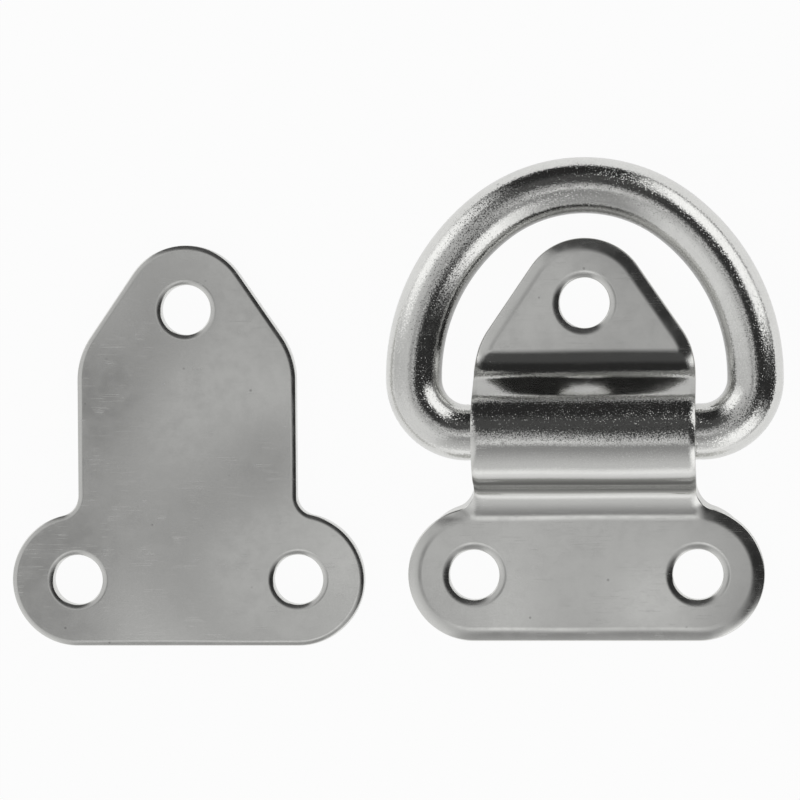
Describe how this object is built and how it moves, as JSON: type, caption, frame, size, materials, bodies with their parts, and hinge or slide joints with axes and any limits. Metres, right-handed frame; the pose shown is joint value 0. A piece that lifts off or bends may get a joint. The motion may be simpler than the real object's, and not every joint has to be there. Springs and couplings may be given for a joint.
{
  "type": "folding lashing ring",
  "caption": "Pressed strap plate whose hump holds a folding D-shaped ring of round bar, with a matching flat backing plate lying beside it.",
  "frame": {"origin": "on the strap plate's mounting face, midway between its two lower bolt holes", "axes": "+X along the ring's straight leg, +Y from the two lower holes to the upper one, +Z out of the mounting face"},
  "size_m": [0.139, 0.0872, 0.0142],
  "materials": {
    "strap_steel": "polished stainless steel with soft satin streaks, fine specks and light scratches",
    "ring_steel": "polished stainless bar with a fine ripple from bending and tumbling",
    "backing_steel": "polished stainless sheet with fine specks and light scratches"
  },
  "bodies": {
    "plates": {"strap_plate": "strap_steel", "backing_plate": "backing_steel"},
    "ring": {"lashing_ring": "ring_steel"}
  },
  "joints": [
    {"name": "ring_fold", "type": "hinge", "parent": "plates", "child": "ring", "pos_m": [0, 0.02559, 0.005], "axis": [1, 0, 0], "range_deg": [0, 170]}
  ]
}
